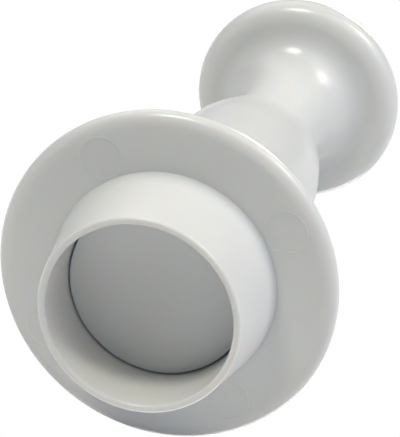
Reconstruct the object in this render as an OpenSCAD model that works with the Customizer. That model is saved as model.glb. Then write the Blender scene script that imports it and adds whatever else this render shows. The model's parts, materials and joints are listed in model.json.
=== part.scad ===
// Plunger cutter for rolled paste and dough: a round cutting collar with a sprung plunger.
// The axis is Z. The cutting edge lies at z = 0 and the palm knob is at the top.

/* [Collar] */
// Outer width of the cutting edge
edge_d = 25; // [24:0.1:27]
// Outer width of the collar where it meets the flange
collar_root_d = 28; // [27:0.1:30]
// Width of the bore that holds the ejector disc
collar_bore_d = 23.1; // [21:0.1:23.2]
// Depth of the collar in front of the flange
collar_depth = 11.2; // [8:0.1:20]
// Width of the flat land on the cutting edge
edge_land = 0.2; // [0.1:0.05:0.4]

/* [Flange] */
// Width of the finger flange
flange_d = 42.6; // [38:0.2:60]
// Thickness of the finger flange
flange_t = 2.9; // [2.4:0.1:5]
// Width of the flange's rounded rim, measured along a radius
flange_rim_w = 2.2; // [1.2:0.1:2.6]
// Number of round moulding marks on the flange's front
mark_count = 4; // [2:1:8]
// Width of one moulding mark, measured to the middle of its raised rim
mark_d = 5.3; // [2:0.1:5.6]
// Width of the raised rim round a moulding mark
mark_rim_w = 0.3; // [0.2:0.05:0.5]
// How far the rim stands out from the flange's front
mark_rim_h = 0.03; // [0.02:0.01:0.1]
// How deep a moulding mark lies below the flange's front
mark_depth = 0.04; // [0.02:0.01:0.4]
// Gap between the collar's root and the rim of each moulding mark
mark_gap = 0.1; // [0.05:0.05:0.5]
// Direction of the first moulding mark, in degrees
mark_angle = 29; // [0:1:90]

/* [Guide] */
// Outer width of the guide tube behind the flange
guide_d = 15.6; // [14.8:0.1:16.4]
// Wall of the guide tube
guide_wall = 1.3; // [1:0.1:1.7]
// Length of the guide tube behind the flange
guide_len = 28.5; // [24:0.5:60]
// Radius of the rounded corner at the guide tube's end
guide_corner_r = 0.4; // [0.2:0.1:0.6]
// Radius of the fillet between the guide tube and the flange
guide_fillet_r = 0.4; // [0.2:0.1:0.8]

/* [Ejector] */
// Thickness of the ejector disc
disc_t = 1.6; // [1.2:0.1:3]
// Gap all round between the ejector disc and the bore
disc_gap = 0.22; // [0.05:0.01:0.3]
// How far the web that stops the disc stands in front of the flange
web_step = 0.5; // [0.2:0.1:2]
// Width of the ejector rod
rod_d = 5.4; // [4.8:0.1:6]
// Width of the ejector rod across its two flats
rod_flats = 4.4; // [3:0.1:5]
// Gap all round between the rod and the hole in the web
rod_gap = 0.08; // [0.03:0.01:0.1]
// How far the disc comes out past the cutting edge when the knob is pushed home
overtravel = 0.5; // [0:0.1:3]

/* [Knob] */
// Width of the knob's head
knob_d = 28.6; // [24:0.2:40]
// Height of the knob's head from its underside to its top
knob_head_h = 5.5; // [4.4:0.1:9]
// Height of the rounding on the upper side of the head's rim
knob_top_round = 2.9; // [1:0.1:3.6]
// Width of the concave flare under the knob's head, measured along a radius
flare_w = 5.3; // [3:0.1:5.6]
// Height of the concave flare under the knob's head
flare_h = 8.1; // [4:0.1:10]
// Width of the knob's waist
waist_d = 12.3; // [11:0.1:14]
// Length of the straight waist between the shoulder and the flare
waist_len = 1; // [0.2:0.2:4]
// Length of the solid neck from the end of the hollow to the underside of the head
neck_len = 23.5; // [20:0.5:40]
// Width of the skirt that slides over the guide tube
skirt_d = 20.6; // [19.6:0.2:24]
// How far below the end of the hollow the skirt begins to curve in to the waist
shoulder_lead = 7; // [4:0.5:9]
// Radius of the rounded outer corner at the skirt's open end
skirt_corner_r = 0.8; // [0.2:0.1:1.2]
// Size of the chamfer inside the skirt's open end
skirt_chamfer = 0.6; // [0.3:0.1:0.8]
// Gap all round between the skirt and the guide tube
skirt_gap = 0.08; // [0.03:0.01:0.1]
// Width of the boss that grips the end of the rod
boss_d = 8.8; // [7.4:0.1:9.4]
// Length of the boss inside the skirt
boss_len = 8; // [4:0.5:16]
// Depth of the socket in the boss
socket_depth = 14; // [8:0.5:18]
// How much narrower than the rod the socket is, all round
socket_grip = 0.03; // [0:0.01:0.05]
// Space left between the knob and the body when the knob is pushed home
stop_gap = 0.3; // [0.1:0.05:1]

/* [Spring] */
// Width of the return spring, measured to the middle of its wire
spring_d = 11; // [10:0.1:11.4]
// Width of the spring's wire
wire_d = 0.9; // [0.6:0.1:1.1]
// Turns of the return spring
spring_turns = 11; // [8:1:12]
// Turns wound close at each end of the spring
end_turns = 1; // [0.5:0.5:2]
// Gap between the turns wound close
end_turn_gap = 0.5; // [0.45:0.05:1]
// Gap between the spring and each of its seats
spring_seat_gap = 0.05; // [0.02:0.01:0.2]

/* [Hidden] */
$fn = 96;
body_colour = [0.86, 0.86, 0.87];
steel_colour = [0.62, 0.63, 0.65];
web_front = collar_depth - web_step;
flange_back = collar_depth + flange_t;
guide_end = flange_back + guide_len;
disc_front = web_front - disc_t;
stroke = disc_front + overtravel;
skirt_start = flange_back + stroke + stop_gap;
hollow_end = guide_end + stroke + stop_gap;
shoulder_start = hollow_end - shoulder_lead;
boss_start = hollow_end - boss_len;
rod_end = boss_start + socket_depth;
knob_under = hollow_end + neck_len;
knob_top = knob_under + knob_head_h;
knob_equator = knob_top - knob_top_round;
flare_start = knob_under - flare_h;
flare_end_r = waist_d / 2 + flare_w;
waist_start = flare_start - waist_len;
mark_outer_d = mark_d + mark_rim_w;
mark_inner_d = mark_d - mark_rim_w;
mark_ring_r = collar_root_d / 2 + mark_gap + mark_outer_d / 2;
arc_steps = 12;
shoulder_steps = 24;
cut = 1;
wire_sides = 6;
turn_rings = 8;

// Points on a quarter ellipse about [cx, cy] with half widths rx and ry, from angle a0 to a1.
function arc(cx, cy, rx, ry, a0, a1) =
    [for (i = [0:arc_steps]) let (a = a0 + (a1 - a0) * i / arc_steps) [cx + rx * cos(a), cy + ry * sin(a)]];

// Points on half a cosine wave from radius r0 at height z0 towards radius r1 at height z1.
function wave(r0, z0, r1, z1) =
    [for (i = [0:shoulder_steps - 1]) let (t = i / shoulder_steps)
        [(r0 + r1) / 2 + (r0 - r1) / 2 * cos(180 * t), z0 + (z1 - z0) * t]];

// Outline of the one-piece collar, flange and guide tube, from the cutting edge to the tube's end.
module body_outline() {
    edge_wall = (edge_d - collar_bore_d) / 2;
    edge_r = (edge_wall - edge_land) / 2;
    rim_h = flange_t / 2;
    collar_r = collar_bore_d / 2;
    guide_r = guide_d / 2;
    bore_r = guide_r - guide_wall;
    polygon(concat(
        [[0, web_front], [collar_r, web_front]],
        arc(collar_r + edge_r, edge_r, edge_r, edge_r, 180, 270),
        arc(edge_d / 2 - edge_r, edge_r, edge_r, edge_r, 270, 360),
        [[collar_root_d / 2, collar_depth]],
        arc(flange_d / 2 - flange_rim_w, collar_depth + rim_h, flange_rim_w, rim_h, -90, 90),
        arc(guide_r + guide_fillet_r, flange_back + guide_fillet_r, guide_fillet_r, guide_fillet_r, 270, 180),
        arc(guide_r - guide_corner_r, guide_end - guide_corner_r, guide_corner_r, guide_corner_r, 0, 90),
        [[bore_r, guide_end], [bore_r, flange_back], [0, flange_back]]
    ));
}

// Round bar with two flats, so that the rod can't turn in its hole.
module keyed_bar(d, flats, len) {
    intersection() {
        cylinder(d = d, h = len);
        translate([-d, -flats / 2, 0]) cube([2 * d, flats, len]);
    }
}

// Round bars at the places of the moulding marks, from a height in front of the flange to one inside it.
module mark_bars(d, low, high) {
    for (i = [0:mark_count - 1])
        rotate(mark_angle + i * 360 / mark_count)
            translate([mark_ring_r, 0, low]) cylinder(d = d, h = high - low);
}

module cutter_body() color(body_colour) {
    difference() {
        union() {
            rotate_extrude() body_outline();
            mark_bars(mark_outer_d, collar_depth - mark_rim_h, collar_depth + flange_t / 2);
        }
        mark_bars(mark_inner_d, collar_depth - cut, collar_depth + mark_depth);
        translate([0, 0, web_front - cut])
            keyed_bar(rod_d + 2 * rod_gap, rod_flats + 2 * rod_gap, flange_back - web_front + 2 * cut);
    }
}

module ejector_disc() color(body_colour) {
    translate([0, 0, disc_front]) cylinder(d = collar_bore_d - 2 * disc_gap, h = disc_t);
    translate([0, 0, web_front]) keyed_bar(rod_d, rod_flats, rod_end - web_front);
}

// Outline of the knob: the boss and the hollow skirt, the shoulder, the waist, the flare and the rounded head.
module knob_outline() {
    skirt_r = skirt_d / 2;
    waist_r = waist_d / 2;
    bore_r = guide_d / 2 + skirt_gap;
    rim_w = knob_d / 2 - flare_end_r;
    polygon(concat(
        [[0, boss_start], [boss_d / 2, boss_start], [boss_d / 2, hollow_end], [bore_r, hollow_end]],
        [[bore_r, skirt_start + skirt_chamfer], [bore_r + skirt_chamfer, skirt_start]],
        arc(skirt_r - skirt_corner_r, skirt_start + skirt_corner_r, skirt_corner_r, skirt_corner_r, 270, 360),
        wave(skirt_r, shoulder_start, waist_r, waist_start),
        [[waist_r, waist_start]],
        arc(flare_end_r, flare_start, flare_w, flare_h, 180, 90),
        arc(flare_end_r, knob_equator, rim_w, knob_equator - knob_under, 270, 360),
        arc(knob_d / 2 - knob_top_round, knob_equator, knob_top_round, knob_top_round, 0, 90),
        [[0, knob_top]]
    ));
}

module push_knob() color(body_colour) {
    difference() {
        rotate_extrude() knob_outline();
        translate([0, 0, boss_start - cut])
            keyed_bar(rod_d - 2 * socket_grip, rod_flats - 2 * socket_grip, socket_depth + cut);
    }
}

// Height of the wire's middle after a number of turns: close wound ends and an even pitch between.
end_pitch = wire_d + end_turn_gap;
wire_low = flange_back + spring_seat_gap + wire_d / 2;
wire_high = hollow_end - spring_seat_gap - wire_d / 2;
open_pitch = (wire_high - wire_low - 2 * end_turns * end_pitch) / (spring_turns - 2 * end_turns);
function wire_z(t) =
    t < end_turns ? wire_low + t * end_pitch :
    t > spring_turns - end_turns ? wire_high - (spring_turns - t) * end_pitch :
    wire_low + end_turns * end_pitch + (t - end_turns) * open_pitch;
ring_count = spring_turns * turn_rings;
wire_points = [for (i = [0:ring_count]) let (t = i / turn_rings)
    [spring_d / 2 * cos(360 * t), spring_d / 2 * sin(360 * t), wire_z(t)]];
wire_gap = min([for (i = [0:ring_count - turn_rings + 2]) for (j = [i + turn_rings - 2:min(i + turn_rings + 2, ring_count)])
    norm(wire_points[i] - wire_points[j])]) - wire_d;
echo(least_gap_between_spring_turns = wire_gap);

module return_spring() color(steel_colour) {
    section = [for (k = [0:wire_sides - 1]) let (a = 360 * (k + 0.5) / wire_sides) wire_d / 2 * [cos(a), sin(a)]];
    rings = [for (i = [0:ring_count]) let (a = 360 * i / turn_rings) for (s = section)
        wire_points[i] + [s[0] * cos(a), s[0] * sin(a), s[1]]];
    sides = [for (i = [0:ring_count - 1]) for (k = [0:wire_sides - 1])
        let (p = i * wire_sides + k, q = i * wire_sides + (k + 1) % wire_sides)
        for (f = [[p, p + wire_sides, q], [q, p + wire_sides, q + wire_sides]]) f];
    start_cap = [for (k = [1:wire_sides - 2]) [0, k, k + 1]];
    last = ring_count * wire_sides;
    end_cap = [for (k = [1:wire_sides - 2]) [last, last + k + 1, last + k]];
    polyhedron(points = rings, faces = concat(sides, start_cap, end_cap), convexity = 20);
}

cutter_body();
ejector_disc();
push_knob();
return_spring();
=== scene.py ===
"""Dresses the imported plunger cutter: turned plastic pieces, a wound spring and soft studio light.

The camera stands where the photograph's did. Lengths inside the classes are in millimetres, and MM turns
them into Blender's metres.
"""

import json
import logging
import math
from dataclasses import dataclass, field
from enum import Enum

import bpy
from mathutils import Matrix, Vector

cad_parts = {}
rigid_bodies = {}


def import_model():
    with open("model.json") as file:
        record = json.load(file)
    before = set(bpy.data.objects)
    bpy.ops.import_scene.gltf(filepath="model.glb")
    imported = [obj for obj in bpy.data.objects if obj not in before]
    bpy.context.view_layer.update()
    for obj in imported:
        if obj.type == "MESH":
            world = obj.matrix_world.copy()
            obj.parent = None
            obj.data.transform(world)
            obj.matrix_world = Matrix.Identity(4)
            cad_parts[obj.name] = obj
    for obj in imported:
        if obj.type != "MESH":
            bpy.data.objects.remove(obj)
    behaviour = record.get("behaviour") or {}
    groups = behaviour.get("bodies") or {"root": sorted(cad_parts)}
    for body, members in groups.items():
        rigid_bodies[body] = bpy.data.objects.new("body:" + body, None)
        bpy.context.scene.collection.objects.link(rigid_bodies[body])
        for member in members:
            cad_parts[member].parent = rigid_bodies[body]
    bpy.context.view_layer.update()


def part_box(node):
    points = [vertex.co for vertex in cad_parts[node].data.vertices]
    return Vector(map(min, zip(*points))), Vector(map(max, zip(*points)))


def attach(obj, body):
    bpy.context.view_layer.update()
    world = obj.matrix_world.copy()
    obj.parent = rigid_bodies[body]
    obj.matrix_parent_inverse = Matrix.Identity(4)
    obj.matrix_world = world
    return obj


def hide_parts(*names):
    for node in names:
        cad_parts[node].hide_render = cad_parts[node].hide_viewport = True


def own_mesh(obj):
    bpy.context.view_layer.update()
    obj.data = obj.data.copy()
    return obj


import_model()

MM = 0.001
CUTTER, PLUNGER = "cutter", "plunger"
WELD_GAP, SEAM_GAP = 1e-7, 1e-6  # metres within which points become one: in a piece, where stretches meet
SHARP_EDGE = 35.0  # degrees above which an edge isn't smoothed
CLOUD_DETAIL, GRAIN_DETAIL, NOISE_MIDDLE = 3.0, 2.0, 0.5
log = logging.getLogger("plunger_cutter")

OutlinePoint = tuple[float, float]
Colour = tuple[float, float, float]
WARM: Colour = (1.0, 0.98, 0.85)


class WallSide(Enum):
    """Which way a turned outline closes."""

    RING = "ring"
    CAPPED = "capped"


class ToolUse(Enum):
    """What a closed shape does to the piece it meets."""

    CUT = "DIFFERENCE"
    JOIN = "UNION"


def node_span(node: str) -> tuple[Vector, Vector]:
    """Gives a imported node's box in millimetres.

    Args:
        node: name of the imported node.

    Returns:
        The lowest and the highest corner.
    """
    low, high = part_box(node)
    return low / MM, high / MM


def arc(
    centre: OutlinePoint, width: float, height: float, start: float, end: float, steps: int
) -> list[OutlinePoint]:
    """Lays points on a stretch of an ellipse or a circle.

    Args:
        centre: radius and height of the curve's centre.
        width: half width of the ellipse.
        height: half height of the ellipse.
        start: first angle in degrees, 0 pointing away from the axis.
        end: last angle in degrees.
        steps: number of straight steps.

    Returns:
        The points from start to end.
    """
    turns = [math.radians(start + (end - start) * i / steps) for i in range(steps + 1)]
    return [(centre[0] + width * math.cos(t), centre[1] + height * math.sin(t)) for t in turns]


def wave(start: OutlinePoint, end: OutlinePoint, steps: int = 40) -> list[OutlinePoint]:
    """Lays points on half a cosine wave, level with the axis at both ends.

    Args:
        start: radius and height of the first point.
        end: radius and height of the last point.
        steps: number of straight steps.

    Returns:
        The points from start to end.
    """
    middle, half = (start[0] + end[0]) / 2, (start[0] - end[0]) / 2
    shares = [i / steps for i in range(steps + 1)]
    return [(middle + half * math.cos(math.pi * t), start[1] + (end[1] - start[1]) * t) for t in shares]


def deselect_all() -> None:
    """Leaves object mode with nothing selected."""
    if bpy.context.mode != "OBJECT":
        bpy.ops.object.mode_set(mode="OBJECT")
    bpy.ops.object.select_all(action="DESELECT")


def apply_modifier(piece: bpy.types.Object, name: str) -> None:
    """Applies one modifier of a piece.

    Args:
        piece: the piece that has it.
        name: name of the modifier.
    """
    deselect_all()
    piece.select_set(True)
    bpy.context.view_layer.objects.active = piece
    bpy.ops.object.modifier_apply(modifier=name)


def settle(piece: bpy.types.Object) -> None:
    """Puts a piece's place into its mesh, turns its faces outwards and smooths all but its sharp edges.

    Args:
        piece: the piece to finish.
    """
    deselect_all()
    piece.select_set(True)
    bpy.context.view_layer.objects.active = piece
    bpy.ops.object.transform_apply(location=True, rotation=True, scale=True)
    bpy.ops.object.mode_set(mode="EDIT")
    bpy.ops.mesh.select_all(action="SELECT")
    bpy.ops.mesh.remove_doubles(threshold=WELD_GAP)
    bpy.ops.mesh.normals_make_consistent(inside=False)
    bpy.ops.object.mode_set(mode="OBJECT")
    bpy.ops.object.shade_smooth_by_angle(angle=math.radians(SHARP_EDGE))
    deselect_all()


def turn_outline(name: str, outline: list[OutlinePoint], side: WallSide, segments: int) -> bpy.types.Object:
    """Turns an outline about the Z axis, ring by ring.

    Args:
        name: name of the new piece.
        outline: radius and height of each ring in millimetres, none on the axis.
        side: RING closes the last ring on the first, CAPPED fills both.
        segments: number of faces round the axis.

    Returns:
        The turned piece, with its place in its mesh.
    """
    deselect_all()
    radius, height = outline[0]
    bpy.ops.mesh.primitive_circle_add(vertices=segments, radius=radius * MM, location=(0, 0, height * MM))
    piece = bpy.context.object
    piece.name = name
    bpy.ops.object.transform_apply(location=True)
    bpy.ops.object.mode_set(mode="EDIT")
    bpy.ops.mesh.select_all(action="SELECT")
    if side is WallSide.CAPPED:
        bpy.ops.mesh.edge_face_add()
        bpy.ops.mesh.select_all(action="SELECT")
    extrude = bpy.ops.mesh.extrude_edges_move if side is WallSide.RING else bpy.ops.mesh.extrude_region_move
    for next_radius, next_height in outline[1:]:
        extrude(TRANSFORM_OT_translate={"value": (0, 0, (next_height - height) * MM)})
        share = next_radius / radius
        bpy.ops.transform.resize(value=(share, share, 1), center_override=(0, 0, next_height * MM))
        radius, height = next_radius, next_height
    if side is WallSide.RING:
        bpy.ops.object.mode_set(mode="OBJECT")
        count = len(piece.data.vertices)
        ends = {*range(segments), *range(count - segments, count)}
        for edge in piece.data.edges:
            edge.select = all(v in ends for v in edge.vertices)
        bpy.ops.object.mode_set(mode="EDIT")
        bpy.ops.mesh.bridge_edge_loops()
    bpy.ops.object.mode_set(mode="OBJECT")
    settle(piece)
    return piece


def add_keyed_bar(
    name: str, width: float, flats: float, low: float, high: float, segments: int
) -> bpy.types.Object:
    """Models a round bar with two flats that face +Y and -Y.

    Args:
        name: name of the new piece.
        width: width of the round bar.
        flats: width across the two flats.
        low: height of the lower end.
        high: height of the upper end.
        segments: number of faces round the bar.

    Returns:
        The bar.
    """
    deselect_all()
    bpy.ops.mesh.primitive_cylinder_add(
        vertices=segments,
        radius=width / 2 * MM,
        depth=(high - low) * MM,
        location=(0, 0, (low + high) / 2 * MM),
    )
    bar = bpy.context.object
    bar.name = name
    bpy.ops.object.transform_apply(location=True)
    bpy.ops.object.mode_set(mode="EDIT")
    for way in (1, -1):
        bpy.ops.mesh.select_all(action="SELECT")
        bpy.ops.mesh.bisect(
            plane_co=(0, way * flats / 2 * MM, 0), plane_no=(0, way, 0), use_fill=True, clear_outer=True
        )
    bpy.ops.object.mode_set(mode="OBJECT")
    return bar


def cut_or_join(piece: bpy.types.Object, tool: bpy.types.Object, use: ToolUse) -> None:
    """Cuts a tool out of a piece, or joins it on, and removes the tool.

    Args:
        piece: the piece that is changed.
        tool: the closed shape that cuts or joins.
        use: CUT or JOIN.
    """
    boolean = piece.modifiers.new(use.value.lower(), "BOOLEAN")
    boolean.operation, boolean.object, boolean.solver = use.value, tool, "EXACT"
    apply_modifier(piece, boolean.name)
    bpy.data.objects.remove(tool, do_unlink=True)


@dataclass(frozen=True)
class Finish:
    """What every finish of the cutter has: a tone, a gloss, broad clouds and waves, and a fine grain."""

    name: str
    colour: Colour
    roughness: float
    cloud_share: float
    gloss_share: float
    grain_size: float
    grain_depth: float
    wave_size: float
    wave_depth: float

    def start_material(self) -> tuple[bpy.types.Material, bpy.types.ShaderNode]:
        """Builds a material with the shared surface on its shader.

        Returns:
            The new material and its shader.
        """
        material = bpy.data.materials.new(self.name)
        material.use_nodes = True
        tree = material.node_tree
        shader = tree.nodes["Principled BSDF"]
        place = tree.nodes.new("ShaderNodeTexCoord")
        surface = tree.nodes.new("ShaderNodeGroup")
        surface.node_tree = moulded_surface_group()
        surface.inputs["Colour"].default_value = (*self.colour, 1)
        surface.inputs["Roughness"].default_value = self.roughness
        surface.inputs["Cloud Share"].default_value = self.cloud_share
        surface.inputs["Gloss Share"].default_value = self.gloss_share
        surface.inputs["Grain Scale"].default_value = 1 / (self.grain_size * MM)
        surface.inputs["Grain Depth"].default_value = self.grain_depth * MM
        surface.inputs["Wave Scale"].default_value = 1 / (self.wave_size * MM)
        surface.inputs["Wave Depth"].default_value = self.wave_depth * MM
        bump = tree.nodes.new("ShaderNodeBump")
        bump.inputs["Distance"].default_value = 1.0
        tree.links.new(place.outputs["Object"], surface.inputs["Place"])
        tree.links.new(surface.outputs["Height"], bump.inputs["Height"])
        tree.links.new(surface.outputs["Colour"], shader.inputs["Base Color"])
        tree.links.new(surface.outputs["Roughness"], shader.inputs["Roughness"])
        tree.links.new(bump.outputs["Normal"], shader.inputs["Normal"])
        return material, shader


@dataclass(frozen=True)
class MouldedPlastic(Finish):
    """A satin moulded plastic that light sinks into a little."""

    colour: Colour = (0.8, 0.8, 0.8)
    roughness: float = 0.25
    cloud_share: float = 0.02
    gloss_share: float = 0.05
    grain_size: float = 0.12
    grain_depth: float = 0.002
    wave_size: float = 7.0
    wave_depth: float = 0.008
    glow_depth: float = 1.2
    glow_colour: Colour = (1.0, 0.8, 0.65)
    refraction: float = 1.49

    def make(self) -> bpy.types.Material:
        """Builds the material.

        Returns:
            The new material.
        """
        material, shader = self.start_material()
        shader.inputs["IOR"].default_value = self.refraction
        shader.inputs["Subsurface Weight"].default_value = 1.0
        shader.inputs["Subsurface Radius"].default_value = self.glow_colour
        shader.inputs["Subsurface Scale"].default_value = self.glow_depth * MM
        return material


@dataclass(frozen=True)
class DrawnWire(Finish):
    """Drawn spring steel: bright grey metal with a fine grain."""

    name: str = "drawn_wire"
    colour: Colour = (0.56, 0.57, 0.58)
    roughness: float = 0.28
    cloud_share: float = 0.06
    gloss_share: float = 0.12
    grain_size: float = 0.05
    grain_depth: float = 0.001
    wave_size: float = 1.5
    wave_depth: float = 0.001

    def make(self) -> bpy.types.Material:
        """Builds the material.

        Returns:
            The new material.
        """
        material, shader = self.start_material()
        shader.inputs["Metallic"].default_value = 1.0
        return material


def moulded_surface_group() -> bpy.types.NodeTree:
    """Builds once the node group that gives a surface its clouds, gloss spread, grain and waves.

    Returns:
        The shared group.
    """
    name = "moulded_surface"
    if name in bpy.data.node_groups:
        return bpy.data.node_groups[name]
    tree = bpy.data.node_groups.new(name, "ShaderNodeTree")
    sockets = tree.interface
    sockets.new_socket("Place", in_out="INPUT", socket_type="NodeSocketVector")
    sockets.new_socket("Colour", in_out="INPUT", socket_type="NodeSocketColor")
    sockets.new_socket("Roughness", in_out="INPUT", socket_type="NodeSocketFloat")
    for effect in ("Cloud Share", "Gloss Share", "Grain Scale", "Grain Depth", "Wave Scale", "Wave Depth"):
        sockets.new_socket(effect, in_out="INPUT", socket_type="NodeSocketFloat")
    sockets.new_socket("Colour", in_out="OUTPUT", socket_type="NodeSocketColor")
    sockets.new_socket("Roughness", in_out="OUTPUT", socket_type="NodeSocketFloat")
    sockets.new_socket("Height", in_out="OUTPUT", socket_type="NodeSocketFloat")
    start = tree.nodes.new("NodeGroupInput")
    end = tree.nodes.new("NodeGroupOutput")

    def noise(scale: bpy.types.NodeSocket, detail: float) -> bpy.types.NodeSocket:
        """Adds a noise pattern.

        Args:
            scale: how many waves it has in a metre.
            detail: how much finer pattern lies on it.

        Returns:
            Its value, centred on zero.
        """
        pattern = tree.nodes.new("ShaderNodeTexNoise")
        pattern.inputs["Detail"].default_value = detail
        tree.links.new(start.outputs["Place"], pattern.inputs["Vector"])
        tree.links.new(scale, pattern.inputs["Scale"])
        return calculate("SUBTRACT", pattern.outputs["Fac"], NOISE_MIDDLE)

    def calculate(
        operation: str, first: bpy.types.NodeSocket, second: bpy.types.NodeSocket | float
    ) -> bpy.types.NodeSocket:
        """Adds a math node.

        Args:
            operation: what it does.
            first: its first value.
            second: its second value, a socket or a number.

        Returns:
            Its result.
        """
        node = tree.nodes.new("ShaderNodeMath")
        node.operation = operation
        tree.links.new(first, node.inputs[0])
        if isinstance(second, float):
            node.inputs[1].default_value = second
        else:
            tree.links.new(second, node.inputs[1])
        return node.outputs[0]

    cloud = noise(start.outputs["Wave Scale"], CLOUD_DETAIL)
    grain = noise(start.outputs["Grain Scale"], GRAIN_DETAIL)
    tint = calculate("ADD", calculate("MULTIPLY", cloud, start.outputs["Cloud Share"]), 1.0)
    scaled = tree.nodes.new("ShaderNodeVectorMath")
    scaled.operation = "SCALE"
    tree.links.new(start.outputs["Colour"], scaled.inputs[0])
    tree.links.new(tint, scaled.inputs["Scale"])
    tree.links.new(scaled.outputs[0], end.inputs["Colour"])
    spread = calculate("MULTIPLY", cloud, start.outputs["Gloss Share"])
    tree.links.new(calculate("ADD", spread, start.outputs["Roughness"]), end.inputs["Roughness"])
    fine = calculate("MULTIPLY", grain, start.outputs["Grain Depth"])
    broad = calculate("MULTIPLY", cloud, start.outputs["Wave Depth"])
    tree.links.new(calculate("ADD", fine, broad), end.inputs["Height"])
    return tree


def dress(piece: bpy.types.Object, material: bpy.types.Material) -> None:
    """Gives a piece its material.

    Args:
        piece: the finished piece.
        material: what it is made of.
    """
    piece.data.materials.clear()
    piece.data.materials.append(material)


@dataclass
class CutterBody:
    """The one-piece collar, flange and guide tube, with the moulding marks on the flange's front."""

    finish: MouldedPlastic
    edge_r: float = 12.5
    bore_r: float = 11.55
    edge_land: float = 0.2
    collar_root_r: float = 14.0
    collar_depth: float = 11.2
    web_front: float = 10.7
    flange_t: float = 2.9
    flange_rim_w: float = 2.2
    guide_r: float = 7.8
    guide_wall: float = 1.3
    guide_corner: float = 0.4
    guide_fillet: float = 0.4
    rod_hole_r: float = 2.78
    root_corner: float = 0.1
    mark_r: float = 2.65
    mark_rim_w: float = 0.3
    mark_rim_h: float = 0.025
    mark_depth: float = 0.04
    mark_base: float = 0.3
    mark_ring_r: float = 16.9
    mark_angle: float = 29.0
    mark_count: int = 4
    corner_steps: int = 8
    fillet_steps: int = 6
    rim_steps: int = 28
    mark_rim_steps: int = 10
    mark_segments: int = 96
    segments: int = 192

    def outline(self) -> list[OutlinePoint]:
        """Gives the turned outline, from the rod's hole round the outside and back inside the guide tube.

        Returns:
            Radius and height of each ring.
        """
        high = node_span("cutter_body")[1]
        flange_r, guide_end = high.x, high.z
        flange_back = self.collar_depth + self.flange_t
        edge, root = (self.edge_r - self.bore_r - self.edge_land) / 2, self.root_corner
        root_centre = (self.collar_root_r + root, self.collar_depth - root)
        rim_w, rim_h = self.flange_rim_w, self.flange_t / 2
        corner, fillet = self.guide_corner, self.guide_fillet
        fillet_centre = (self.guide_r + fillet, flange_back + fillet)
        guide_bore = self.guide_r - self.guide_wall
        return [
            (self.rod_hole_r, self.web_front),
            (self.bore_r, self.web_front),
            *arc((self.bore_r + edge, edge), edge, edge, 180, 270, self.corner_steps),
            *arc((self.edge_r - edge, edge), edge, edge, 270, 360, self.corner_steps),
            *arc(root_centre, root, root, 180, 90, self.fillet_steps),
            *arc((flange_r - rim_w, self.collar_depth + rim_h), rim_w, rim_h, -90, 90, self.rim_steps),
            *arc(fillet_centre, fillet, fillet, 270, 180, self.fillet_steps),
            *arc((self.guide_r - corner, guide_end - corner), corner, corner, 0, 90, self.fillet_steps),
            (guide_bore, guide_end),
            (guide_bore, flange_back),
            (self.rod_hole_r, flange_back),
        ]

    def add_mark(self, piece: bpy.types.Object, index: int) -> None:
        """Raises the rim of one moulding mark on the flange's front and sinks the mark inside it.

        Args:
            piece: the body.
            index: number of the mark, counted round the flange.
        """
        angle = math.radians(self.mark_angle + index * 360 / self.mark_count)
        place = (self.mark_ring_r * math.cos(angle) * MM, self.mark_ring_r * math.sin(angle) * MM, 0)
        half, base = self.mark_rim_w / 2, self.collar_depth + self.mark_base
        outline = [
            (self.mark_r - half, base),
            *arc((self.mark_r, self.collar_depth), half, self.mark_rim_h, 180, 360, self.mark_rim_steps),
            (self.mark_r + half, base),
        ]
        rim = turn_outline("mark_rim", outline, WallSide.RING, self.mark_segments)
        rim.location = place
        cut_or_join(piece, rim, ToolUse.JOIN)
        deselect_all()
        bpy.ops.mesh.primitive_cylinder_add(
            vertices=self.mark_segments,
            radius=(self.mark_r - half) * MM,
            depth=2 * self.mark_depth * MM,
            location=(place[0], place[1], self.collar_depth * MM),
        )
        cut_or_join(piece, bpy.context.object, ToolUse.CUT)

    def build(self) -> bpy.types.Object:
        """Models and dresses the body.

        Returns:
            The body.
        """
        piece = turn_outline("cutter_body_shell", self.outline(), WallSide.RING, self.segments)
        for index in range(self.mark_count):
            self.add_mark(piece, index)
        settle(piece)
        dress(piece, self.finish.make())
        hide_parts("cutter_body")
        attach(piece, CUTTER)
        log.info("cutter body: %d faces", len(piece.data.polygons))
        return piece


@dataclass
class EjectorDisc:
    """The plain disc in the collar with its keyed rod behind it."""

    finish: MouldedPlastic
    thickness: float = 1.6
    corner: float = 0.15
    rod_d: float = 5.4
    rod_flats: float = 4.4
    centre_r: float = 0.2
    face_border: float = 1.0
    corner_steps: int = 5
    rod_segments: int = 96
    segments: int = 192

    def build(self) -> bpy.types.Object:
        """Models and dresses the disc.

        Returns:
            The disc with its rod.
        """
        low, high = node_span("ejector_disc")
        front, back, edge, corner = low.z, low.z + self.thickness, high.x, self.corner
        outline = [
            (self.centre_r, front),
            (edge - corner - self.face_border, front),
            *arc((edge - corner, front + corner), corner, corner, -90, 0, self.corner_steps),
            (edge, back),
            (self.centre_r, back),
        ]
        piece = turn_outline("ejector_disc_face", outline, WallSide.CAPPED, self.segments)
        rod_start = back - self.thickness / 2
        rod = add_keyed_bar(
            "ejector_rod", self.rod_d, self.rod_flats, rod_start, high.z, self.rod_segments
        )
        cut_or_join(piece, rod, ToolUse.JOIN)
        settle(piece)
        dress(piece, self.finish.make())
        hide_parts("ejector_disc")
        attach(piece, PLUNGER)
        log.info("ejector disc: %d faces", len(piece.data.polygons))
        return piece


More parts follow.
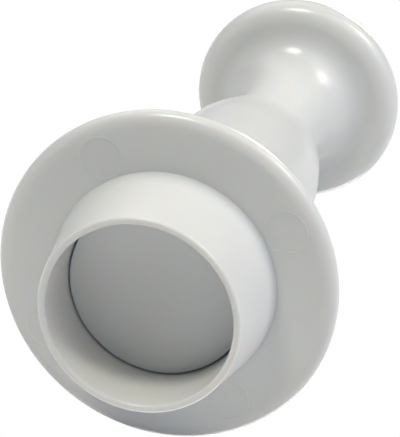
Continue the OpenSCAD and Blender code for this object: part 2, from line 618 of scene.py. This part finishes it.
@dataclass
class PushKnob:
    """The hollow skirt, the smooth shoulder and waist, and the flared head that the palm presses."""

    finish: MouldedPlastic
    head_height: float = 5.5
    top_round: float = 2.9
    flare_w: float = 5.3
    flare_h: float = 8.1
    waist_r: float = 6.15
    waist_height: float = 1.0
    neck_height: float = 23.5
    skirt_r: float = 10.3
    skirt_bore_r: float = 7.88
    skirt_corner: float = 0.8
    skirt_chamfer: float = 0.6
    shoulder_lead: float = 7.0
    boss_r: float = 4.4
    boss_height: float = 8.0
    socket_r: float = 2.6
    centre_r: float = 0.4
    corner_steps: int = 8
    flare_steps: int = 28
    head_steps: int = 20
    segments: int = 192

    def outline(self) -> list[OutlinePoint]:
        """Gives the turned outline, from the rod's socket down the hollow skirt and up round the head.

        Returns:
            Radius and height of each ring.
        """
        low, high = node_span("push_knob")
        socket_end = node_span("ejector_disc")[1].z
        under, equator = high.z - self.head_height, high.z - self.top_round
        flare_start, flare_end_r = under - self.flare_h, self.waist_r + self.flare_w
        hollow_end = under - self.neck_height
        boss_end, corner, chamfer = hollow_end - self.boss_height, self.skirt_corner, self.skirt_chamfer
        shoulder = (self.skirt_r, hollow_end - self.shoulder_lead)
        waist = (self.waist_r, flare_start - self.waist_height)
        head_r, top = high.x - flare_end_r, self.top_round
        return [
            (self.socket_r, socket_end),
            (self.socket_r, boss_end),
            (self.boss_r, boss_end),
            (self.boss_r, hollow_end),
            (self.skirt_bore_r, hollow_end),
            (self.skirt_bore_r, low.z + chamfer),
            (self.skirt_bore_r + chamfer, low.z),
            *arc((self.skirt_r - corner, low.z + corner), corner, corner, 270, 360, self.corner_steps),
            *wave(shoulder, waist),
            *arc((flare_end_r, flare_start), self.flare_w, self.flare_h, 180, 90, self.flare_steps),
            *arc((flare_end_r, equator), head_r, equator - under, 270, 360, self.head_steps)[1:],
            *arc((high.x - top, equator), top, top, 0, 90, self.head_steps)[1:],
            (self.centre_r, high.z),
        ]

    def build(self) -> bpy.types.Object:
        """Models and dresses the knob.

        Returns:
            The knob.
        """
        piece = turn_outline("push_knob_grip", self.outline(), WallSide.CAPPED, self.segments)
        dress(piece, self.finish.make())
        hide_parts("push_knob")
        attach(piece, PLUNGER)
        log.info("push knob: %d faces", len(piece.data.polygons))
        return piece


@dataclass
class ReturnSpring:
    """The wound steel spring inside the guide tube, between the web and the top of the knob's hollow."""

    finish: DrawnWire
    wire_r: float = 0.45
    coil_r: float = 5.5
    turns: int = 11
    end_turns: int = 1
    end_pitch: float = 1.4
    wire_sides: int = 12
    turn_steps: int = 32
    joint: str = "plunger_slide"

    def stretch(self, low: float, turns: int, pitch: float) -> bpy.types.Object:
        """Winds a stretch of wire of even pitch.

        Args:
            low: height of the wire's middle at the start.
            turns: number of whole turns.
            pitch: rise of one turn.

        Returns:
            The open tube.
        """
        deselect_all()
        bpy.ops.mesh.primitive_circle_add(
            vertices=self.wire_sides, radius=self.wire_r * MM,
            location=(self.coil_r * MM, 0, low * MM), rotation=(math.pi / 2, 0, 0),
        )
        tube = bpy.context.object
        bpy.ops.object.transform_apply(location=True, rotation=True)
        winding = tube.modifiers.new("winding", "SCREW")
        winding.axis, winding.iterations, winding.screw_offset = "Z", turns, pitch * MM
        winding.steps = winding.render_steps = self.turn_steps
        apply_modifier(tube, winding.name)
        return tube

    def build(self) -> bpy.types.Object:
        """Winds, closes and dresses the spring.

        Returns:
            The spring.
        """
        low, high = node_span("return_spring")
        start, top = low.z + self.wire_r, high.z - self.wire_r
        middle_turns = self.turns - 2 * self.end_turns
        rise = self.end_turns * self.end_pitch
        tubes = [
            self.stretch(start, self.end_turns, self.end_pitch),
            self.stretch(start + rise, middle_turns, (top - start - 2 * rise) / middle_turns),
            self.stretch(top - rise, self.end_turns, self.end_pitch),
        ]
        deselect_all()
        for tube in tubes:
            tube.select_set(True)
        piece = tubes[0]
        bpy.context.view_layer.objects.active = piece
        bpy.ops.object.join()
        piece.name = "return_spring_coil"
        bpy.ops.object.mode_set(mode="EDIT")
        bpy.ops.mesh.select_all(action="SELECT")
        bpy.ops.mesh.remove_doubles(threshold=SEAM_GAP)
        bpy.ops.mesh.fill_holes(sides=0)
        bpy.ops.object.mode_set(mode="OBJECT")
        settle(piece)
        dress(piece, self.finish.make())
        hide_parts("return_spring")
        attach(piece, CUTTER)
        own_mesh(piece)
        log.info("return spring: %d faces", len(piece.data.polygons))
        return piece


@dataclass(frozen=True)
class SoftLight:
    """One soft studio light, as seen from the object.

    Azimuth 0 is on the -Y side and 90 on the +X side. Azimuth, elevation and softness are in degrees.
    """

    name: str
    azimuth: float
    elevation: float
    strength: float
    softness: float = 35.0
    colour: Colour = (1.0, 1.0, 1.0)
    reach: float = 500.0

    def add(self, lit: bpy.types.Collection, shaded_by: bpy.types.Collection | None = None) -> None:
        """Adds the light.

        Args:
            lit: what the light falls on.
            shaded_by: what casts a shadow in it, or None for every piece.
        """
        turn, rise = math.radians(self.azimuth), math.radians(self.elevation)
        level = math.cos(rise)
        towards = Vector((math.sin(turn) * level, -math.cos(turn) * level, math.sin(rise)))
        lamp = bpy.data.lights.new(self.name, "SUN")
        lamp.energy, lamp.angle, lamp.color = self.strength, math.radians(self.softness), self.colour
        light = bpy.data.objects.new(self.name, lamp)
        bpy.context.scene.collection.objects.link(light)
        light.rotation_euler = towards.to_track_quat("Z", "Y").to_euler()
        light.location = towards * self.reach * MM
        light.light_linking.receiver_collection = lit
        light.light_linking.blocker_collection = shaded_by


def only(name: str, chosen: bpy.types.Object) -> bpy.types.Collection:
    """Groups one object alone, for a light's links.

    Args:
        name: name of the group.
        chosen: the one object in it.

    Returns:
        The group.
    """
    group = bpy.data.collections.new(name)
    group.objects.link(chosen)
    return group


def all_but(name: str, left_out: bpy.types.Object) -> bpy.types.Collection:
    """Groups everything but one object, for a light's links.

    Args:
        name: name of the group.
        left_out: the one object that isn't in it.

    Returns:
        The group.
    """
    group = only(name, left_out)
    group.collection_objects[0].light_linking.link_state = "EXCLUDE"
    return group


@dataclass
class Studio:
    """The plain pale floor, the hidden white board, the soft lights and the photograph's camera.

    The first lights' places, strengths and tints were fitted to the cutter's shading in the photograph.
    floor_light falls on the floor alone, and the others on all but the floor. The board casts no shadow in
    floor_light and past_board_lights.
    """

    lights: tuple[SoftLight, ...] = (
        SoftLight("key_lamp_near", -41, -16.3, 0.70, 10, WARM),
        SoftLight("key_lamp_far", -48, -16.3, 0.54, 10, WARM),
        SoftLight("side_lamp_left", 0, 10.4, 0.13, 16, WARM),
        SoftLight("side_lamp_middle", 8, 10.4, 0.45, 16, WARM),
        SoftLight("side_lamp_right", 16, 10.4, 0.35, 16, WARM),
        SoftLight("side_lamp_back", 16, 18.7, 0.26, 16, WARM),
        SoftLight("room_front", -5, -12, 0.48, 35, (0.95, 1.0, 0.85)),
        SoftLight("room_right", 20, 0, 0.56, 35, (0.64, 0.66, 1.0)),
        SoftLight("room_far_right", 44, 3, 0.15, 35, (0.41, 0.64, 1.0)),
        SoftLight("room_left", -78, 7, 0.41, 35, (0.75, 0.76, 1.0)),
        SoftLight("room_back", -62, 34, 0.28, 35, (1.0, 0.99, 0.84)),
        SoftLight("room_far_back", -88, 50, 0.17, 35, (0.6, 0.69, 1.0)),
        SoftLight("room_low_left", -106, -26, 0.21, 35, (0.78, 0.89, 1.0)),
        SoftLight("room_below", 27, -73, 0.18, 35, (0.79, 0.91, 1.0)),
    )
    past_board_lights: tuple[SoftLight, ...] = (
        SoftLight("overhead", 0, 90, 0.8, 6),
        SoftLight("back_fill", 150, 30, 0.6, 35),
    )
    floor_light: SoftLight = SoftLight("floor_light", 150, 65, 4.6, 60)
    floor_half: float = 600.0
    floor_cells: int = 8
    floor_drop: float = 0.02
    floor_tone: float = 0.82
    floor_roughness: float = 0.8
    board_half: float = 350.0
    board_side: float = 60.0
    board_gap: float = 0.3
    board_tone: float = 0.8
    board_roughness: float = 0.9
    board_shine: float = 0.2
    room_glow: float = 0.02
    lens: float = 251.32
    sensor: float = 36.0
    camera_place: tuple[float, float, float] = (-0.54, -173.364, -313.73)
    camera_rise: float = 63.241
    camera_roll: float = 36.344
    shift: tuple[float, float] = (-0.0056, 0.0059)
    clip: tuple[float, float] = (10.0, 10000.0)

    def add_camera(self) -> None:
        """Adds the photograph's camera, which looks up at the collar from below."""
        rise, roll = math.radians(self.camera_rise), math.radians(self.camera_roll)
        forward = Vector((0, math.cos(rise), math.sin(rise)))
        level_right = Vector((1, 0, 0))
        level_up = level_right.cross(forward)
        right = math.cos(roll) * level_right + math.sin(roll) * level_up
        up = math.cos(roll) * level_up - math.sin(roll) * level_right
        data = bpy.data.cameras.new("photo_camera")
        camera = bpy.data.objects.new("photo_camera", data)
        bpy.context.scene.collection.objects.link(camera)
        turn = Matrix((right, up, -forward)).transposed()
        camera.matrix_world = Matrix.Translation(Vector(self.camera_place) * MM) @ turn.to_4x4()
        data.lens, data.sensor_width = self.lens, self.sensor
        data.shift_x, data.shift_y = self.shift
        data.clip_start, data.clip_end = self.clip[0] * MM, self.clip[1] * MM
        bpy.context.scene.camera = camera

    def add_floor(self) -> bpy.types.Object:
        """Adds a plain pale floor that shows from above only, because the photograph looks up through it.

        Returns:
            The floor.
        """
        deselect_all()
        bpy.ops.mesh.primitive_grid_add(
            x_subdivisions=self.floor_cells,
            y_subdivisions=self.floor_cells,
            size=2 * self.floor_half * MM,
            location=(0, 0, -self.floor_drop * MM),
        )
        floor = bpy.context.object
        floor.name = "studio_floor"
        bpy.ops.object.transform_apply(location=True)
        material = bpy.data.materials.new("studio_floor")
        material.use_nodes = True
        tree = material.node_tree
        shader = tree.nodes["Principled BSDF"]
        shader.inputs["Base Color"].default_value = (self.floor_tone, self.floor_tone, self.floor_tone, 1)
        shader.inputs["Roughness"].default_value = self.floor_roughness
        side = tree.nodes.new("ShaderNodeNewGeometry")
        clear = tree.nodes.new("ShaderNodeBsdfTransparent")
        mix = tree.nodes.new("ShaderNodeMixShader")
        tree.links.new(side.outputs["Backfacing"], mix.inputs["Fac"])
        tree.links.new(shader.outputs["BSDF"], mix.inputs[1])
        tree.links.new(clear.outputs["BSDF"], mix.inputs[2])
        tree.links.new(mix.outputs["Shader"], tree.nodes["Material Output"].inputs["Surface"])
        floor.data.materials.append(material)
        floor.visible_shadow = floor.visible_diffuse = floor.visible_glossy = False
        return floor

    def add_board(self) -> bpy.types.Object:
        """Adds a white board along the flange's and the knob's rims, hidden from every camera.

        It throws light back onto the cutter's lower side and keeps light from below off.

        Returns:
            The board.
        """
        body, knob = node_span("cutter_body")[1], node_span("push_knob")[1]
        flange_height = CutterBody.collar_depth + CutterBody.flange_t / 2
        lean = math.atan2(body.x - knob.x, knob.z - PushKnob.top_round - flange_height)
        reach = body.x * math.cos(lean) + flange_height * math.sin(lean) + self.board_gap
        side, level = math.radians(self.board_side), math.cos(lean)
        outwards = Vector((math.cos(side) * level, math.sin(side) * level, math.sin(lean)))
        deselect_all()
        bpy.ops.mesh.primitive_plane_add(
            size=2 * self.board_half * MM,
            location=outwards * reach * MM,
            rotation=(-outwards).to_track_quat("Z", "Y").to_euler(),
        )
        board = bpy.context.object
        board.name = "white_board"
        bpy.ops.object.transform_apply(location=True, rotation=True)
        material = bpy.data.materials.new("white_board")
        material.use_nodes = True
        shader = material.node_tree.nodes["Principled BSDF"]
        shader.inputs["Base Color"].default_value = (self.board_tone, self.board_tone, self.board_tone, 1)
        shader.inputs["Roughness"].default_value = self.board_roughness
        shader.inputs["Specular IOR Level"].default_value = self.board_shine
        board.data.materials.append(material)
        board.visible_camera = False
        return board

    def add_world(self) -> None:
        """Makes the plain white surround, which only the camera sees, and a faint glow for all else."""
        scene = bpy.context.scene
        scene.view_settings.view_transform = "Standard"
        scene.world = bpy.data.worlds.new("white_surround")
        scene.world.use_nodes = True
        tree = scene.world.node_tree
        surround = tree.nodes["Background"]
        surround.inputs["Color"].default_value = (1, 1, 1, 1)
        ray = tree.nodes.new("ShaderNodeLightPath")
        glow = tree.nodes.new("ShaderNodeBackground")
        glow.inputs["Strength"].default_value = self.room_glow
        mix = tree.nodes.new("ShaderNodeMixShader")
        tree.links.new(ray.outputs["Is Camera Ray"], mix.inputs["Fac"])
        tree.links.new(glow.outputs["Background"], mix.inputs[1])
        tree.links.new(surround.outputs["Background"], mix.inputs[2])
        tree.links.new(mix.outputs["Shader"], tree.nodes["World Output"].inputs["Surface"])

    def build(self) -> None:
        """Adds the camera, the floor, the board, the surround and the lights."""
        self.add_camera()
        floor, board = self.add_floor(), self.add_board()
        self.add_world()
        pieces_only, past_the_board = all_but("not_the_floor", floor), all_but("not_the_board", board)
        for light in self.lights:
            light.add(pieces_only)
        for light in self.past_board_lights:
            light.add(pieces_only, past_the_board)
        self.floor_light.add(only("floor_alone", floor), past_the_board)
        log.info("studio: %d soft lights", len(self.lights) + len(self.past_board_lights) + 1)


@dataclass
class PlungerCutter:
    """The whole cutter, piece by piece."""

    body: CutterBody = field(default_factory=lambda: CutterBody(MouldedPlastic("body_plastic")))
    disc: EjectorDisc = field(default_factory=lambda: EjectorDisc(MouldedPlastic("disc_plastic")))
    knob: PushKnob = field(default_factory=lambda: PushKnob(MouldedPlastic("knob_plastic")))
    spring: ReturnSpring = field(default_factory=lambda: ReturnSpring(DrawnWire()))

    def build(self) -> list[bpy.types.Object]:
        """Builds every piece.

        Returns:
            The pieces in the order they were made.
        """
        return [self.body.build(), self.disc.build(), self.knob.build(), self.spring.build()]


def main() -> None:
    """Builds the cutter and its studio."""
    logging.basicConfig(level=logging.INFO, format="%(name)s: %(message)s")
    Studio().build()
    pieces = PlungerCutter().build()
    log.info("pieces: %s", ", ".join(piece.name for piece in pieces))


if __name__ == "__main__":
    main()
